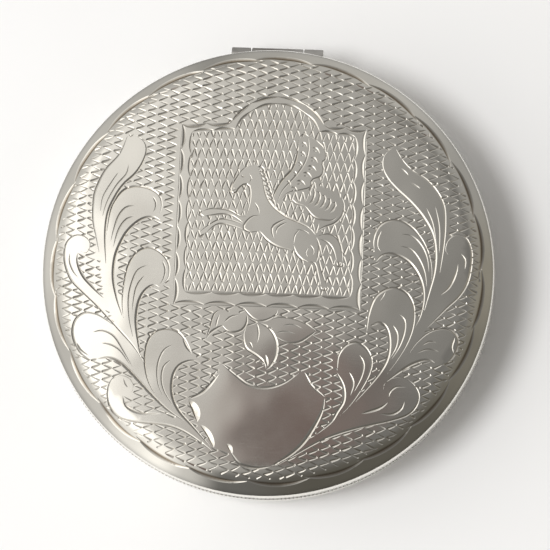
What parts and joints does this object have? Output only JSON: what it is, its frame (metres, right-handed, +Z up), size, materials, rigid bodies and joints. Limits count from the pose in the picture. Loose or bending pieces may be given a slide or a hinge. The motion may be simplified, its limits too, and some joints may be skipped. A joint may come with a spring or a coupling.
{
  "type": "pill box",
  "caption": "Round hinged pill box in polished silver with a hand-engraved domed lid, a milled rim and a gilt inside.",
  "frame": {"origin": "centre of the round base, on the plane that the box rests on", "axes": "+Z up through the lid, -Y to the opening edge at the front, +Y to the hinge at the back, +X to the right"},
  "size_m": [0.052, 0.0526, 0.0147],
  "materials": {
    "engraved_silver": "polished",
    "plain_silver": "polished",
    "gilt": "satin",
    "pin_metal": "satin"
  },
  "bodies": {
    "base": {"base_pan": "plain_silver", "base_milled_rim": "plain_silver", "base_collar": "gilt", "base_liner": "gilt", "base_hinge_bearer": "plain_silver", "hinge_knuckle_left": "plain_silver", "hinge_knuckle_right": "plain_silver", "hinge_pin": "pin_metal", "pin_plug_left": "plain_silver", "pin_plug_right": "plain_silver"},
    "lid": {"lid_cover": "engraved_silver", "lid_rim": "plain_silver", "lid_lining": "gilt", "lining_retainer": "gilt", "lid_hinge_bearer": "plain_silver", "hinge_knuckle_centre": "plain_silver"}
  },
  "joints": [
    {"name": "lid_hinge", "type": "hinge", "parent": "base", "child": "lid", "pos_m": [0, 0.02572, 0.0076], "axis": [-1, 0, 0], "range_deg": [0, 105]}
  ]
}
